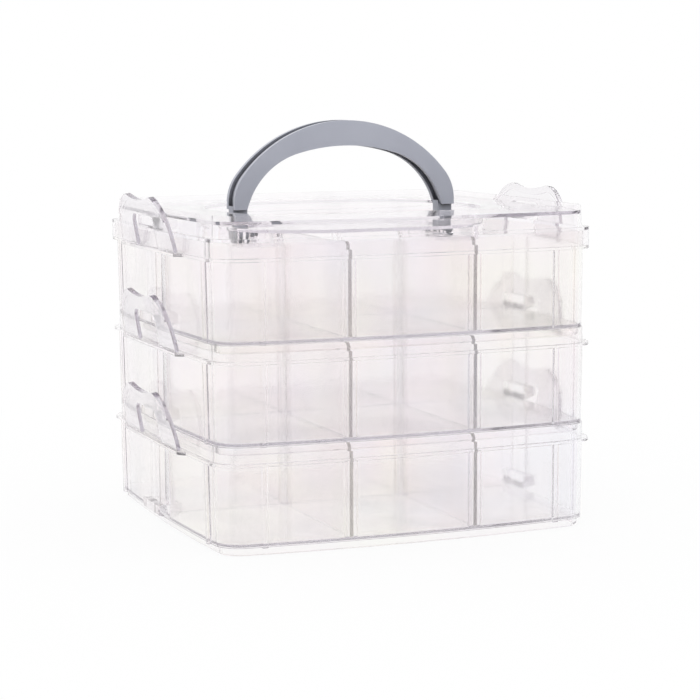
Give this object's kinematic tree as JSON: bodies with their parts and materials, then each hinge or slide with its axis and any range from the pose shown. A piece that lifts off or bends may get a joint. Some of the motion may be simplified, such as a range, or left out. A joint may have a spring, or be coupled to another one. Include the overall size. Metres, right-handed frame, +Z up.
{
  "type": "three-tier storage box",
  "caption": "Clear stackable organiser box: bowed square trays with loose cross dividers and snap ears, a lid and a swinging carry handle.",
  "frame": {"origin": "centre of the underside, on the surface the box stands on", "axes": "+X to the right ears, -Y to the front, +Z up"},
  "size_m": [0.1612, 0.144, 0.1486],
  "materials": {
    "tray_clear": "clear gloss",
    "lid_clear": "clear gloss",
    "latch_clear": "clear gloss",
    "divider_clear": "clear gloss",
    "handle_grey": "satin"
  },
  "bodies": {
    "lower_tray": {"lower_tray": "tray_clear"},
    "middle_tray": {"middle_tray": "tray_clear"},
    "upper_tray": {"upper_tray": "tray_clear"},
    "lid": {"lid": "lid_clear"},
    "carry_handle": {"carry_handle": "handle_grey"},
    "lower_left_latch": {"lower_left_latch": "latch_clear"},
    "lower_right_latch": {"lower_right_latch": "latch_clear"},
    "lower_front_left_divider": {"lower_front_left_divider": "divider_clear"},
    "lower_front_right_divider": {"lower_front_right_divider": "divider_clear"},
    "lower_back_left_divider": {"lower_back_left_divider": "divider_clear"},
    "lower_back_right_divider": {"lower_back_right_divider": "divider_clear"},
    "middle_left_latch": {"middle_left_latch": "latch_clear"},
    "middle_right_latch": {"middle_right_latch": "latch_clear"},
    "middle_front_left_divider": {"middle_front_left_divider": "divider_clear"},
    "middle_front_right_divider": {"middle_front_right_divider": "divider_clear"},
    "middle_back_left_divider": {"middle_back_left_divider": "divider_clear"},
    "middle_back_right_divider": {"middle_back_right_divider": "divider_clear"},
    "upper_left_latch": {"upper_left_latch": "latch_clear"},
    "upper_right_latch": {"upper_right_latch": "latch_clear"},
    "upper_front_left_divider": {"upper_front_left_divider": "divider_clear"},
    "upper_front_right_divider": {"upper_front_right_divider": "divider_clear"},
    "upper_back_left_divider": {"upper_back_left_divider": "divider_clear"},
    "upper_back_right_divider": {"upper_back_right_divider": "divider_clear"}
  },
  "joints": [
    {"name": "middle_tray_lift", "type": "slide", "parent": "lower_tray", "child": "middle_tray", "axis": [0, 0, 1], "range_m": [0, 0.06]},
    {"name": "upper_tray_lift", "type": "slide", "parent": "middle_tray", "child": "upper_tray", "axis": [0, 0, 1], "range_m": [0, 0.06]},
    {"name": "lid_lift", "type": "slide", "parent": "upper_tray", "child": "lid", "axis": [0, 0, 1], "range_m": [0, 0.06]},
    {"name": "handle_swing", "type": "hinge", "parent": "lid", "child": "carry_handle", "pos_m": [0, 0, 0.10795], "axis": [1, 0, 0], "range_deg": [-65, 65]},
    {"name": "lower_left_latch_bend", "type": "hinge", "parent": "lower_tray", "child": "lower_left_latch", "pos_m": [-0.07605, 0, 0.0336], "axis": [0, -1, 0], "range_deg": [-10, 12]},
    {"name": "lower_right_latch_bend", "type": "hinge", "parent": "lower_tray", "child": "lower_right_latch", "pos_m": [0.07605, 0, 0.0336], "axis": [0, 1, 0], "range_deg": [-10, 12]},
    {"name": "lower_front_left_divider_draw", "type": "slide", "parent": "lower_tray", "child": "lower_front_left_divider", "axis": [0, 0, 1], "range_m": [0, 0.045]},
    {"name": "lower_front_right_divider_draw", "type": "slide", "parent": "lower_tray", "child": "lower_front_right_divider", "axis": [0, 0, 1], "range_m": [0, 0.045]},
    {"name": "lower_back_left_divider_draw", "type": "slide", "parent": "lower_tray", "child": "lower_back_left_divider", "axis": [0, 0, 1], "range_m": [0, 0.045]},
    {"name": "lower_back_right_divider_draw", "type": "slide", "parent": "lower_tray", "child": "lower_back_right_divider", "axis": [0, 0, 1], "range_m": [0, 0.045]},
    {"name": "middle_left_latch_bend", "type": "hinge", "parent": "middle_tray", "child": "middle_left_latch", "pos_m": [-0.07605, 0, 0.06895], "axis": [0, -1, 0], "range_deg": [-10, 12]},
    {"name": "middle_right_latch_bend", "type": "hinge", "parent": "middle_tray", "child": "middle_right_latch", "pos_m": [0.07605, 0, 0.06895], "axis": [0, 1, 0], "range_deg": [-10, 12]},
    {"name": "middle_front_left_divider_draw", "type": "slide", "parent": "middle_tray", "child": "middle_front_left_divider", "axis": [0, 0, 1], "range_m": [0, 0.045]},
    {"name": "middle_front_right_divider_draw", "type": "slide", "parent": "middle_tray", "child": "middle_front_right_divider", "axis": [0, 0, 1], "range_m": [0, 0.045]},
    {"name": "middle_back_left_divider_draw", "type": "slide", "parent": "middle_tray", "child": "middle_back_left_divider", "axis": [0, 0, 1], "range_m": [0, 0.045]},
    {"name": "middle_back_right_divider_draw", "type": "slide", "parent": "middle_tray", "child": "middle_back_right_divider", "axis": [0, 0, 1], "range_m": [0, 0.045]},
    {"name": "upper_left_latch_bend", "type": "hinge", "parent": "upper_tray", "child": "upper_left_latch", "pos_m": [-0.07605, 0, 0.1043], "axis": [0, -1, 0], "range_deg": [-10, 12]},
    {"name": "upper_right_latch_bend", "type": "hinge", "parent": "upper_tray", "child": "upper_right_latch", "pos_m": [0.07605, 0, 0.1043], "axis": [0, 1, 0], "range_deg": [-10, 12]},
    {"name": "upper_front_left_divider_draw", "type": "slide", "parent": "upper_tray", "child": "upper_front_left_divider", "axis": [0, 0, 1], "range_m": [0, 0.045]},
    {"name": "upper_front_right_divider_draw", "type": "slide", "parent": "upper_tray", "child": "upper_front_right_divider", "axis": [0, 0, 1], "range_m": [0, 0.045]},
    {"name": "upper_back_left_divider_draw", "type": "slide", "parent": "upper_tray", "child": "upper_back_left_divider", "axis": [0, 0, 1], "range_m": [0, 0.045]},
    {"name": "upper_back_right_divider_draw", "type": "slide", "parent": "upper_tray", "child": "upper_back_right_divider", "axis": [0, 0, 1], "range_m": [0, 0.045]}
  ],
  "couplings": [
    {"joint": "lower_front_left_divider_draw", "follows": "middle_tray_lift", "ratio": 0.75},
    {"joint": "lower_front_right_divider_draw", "follows": "middle_tray_lift", "ratio": 0.75},
    {"joint": "lower_back_left_divider_draw", "follows": "middle_tray_lift", "ratio": 0.75},
    {"joint": "lower_back_right_divider_draw", "follows": "middle_tray_lift", "ratio": 0.75},
    {"joint": "middle_front_left_divider_draw", "follows": "upper_tray_lift", "ratio": 0.75},
    {"joint": "middle_front_right_divider_draw", "follows": "upper_tray_lift", "ratio": 0.75},
    {"joint": "middle_back_left_divider_draw", "follows": "upper_tray_lift", "ratio": 0.75},
    {"joint": "middle_back_right_divider_draw", "follows": "upper_tray_lift", "ratio": 0.75},
    {"joint": "upper_front_left_divider_draw", "follows": "lid_lift", "ratio": 0.75},
    {"joint": "upper_front_right_divider_draw", "follows": "lid_lift", "ratio": 0.75},
    {"joint": "upper_back_left_divider_draw", "follows": "lid_lift", "ratio": 0.75},
    {"joint": "upper_back_right_divider_draw", "follows": "lid_lift", "ratio": 0.75}
  ]
}
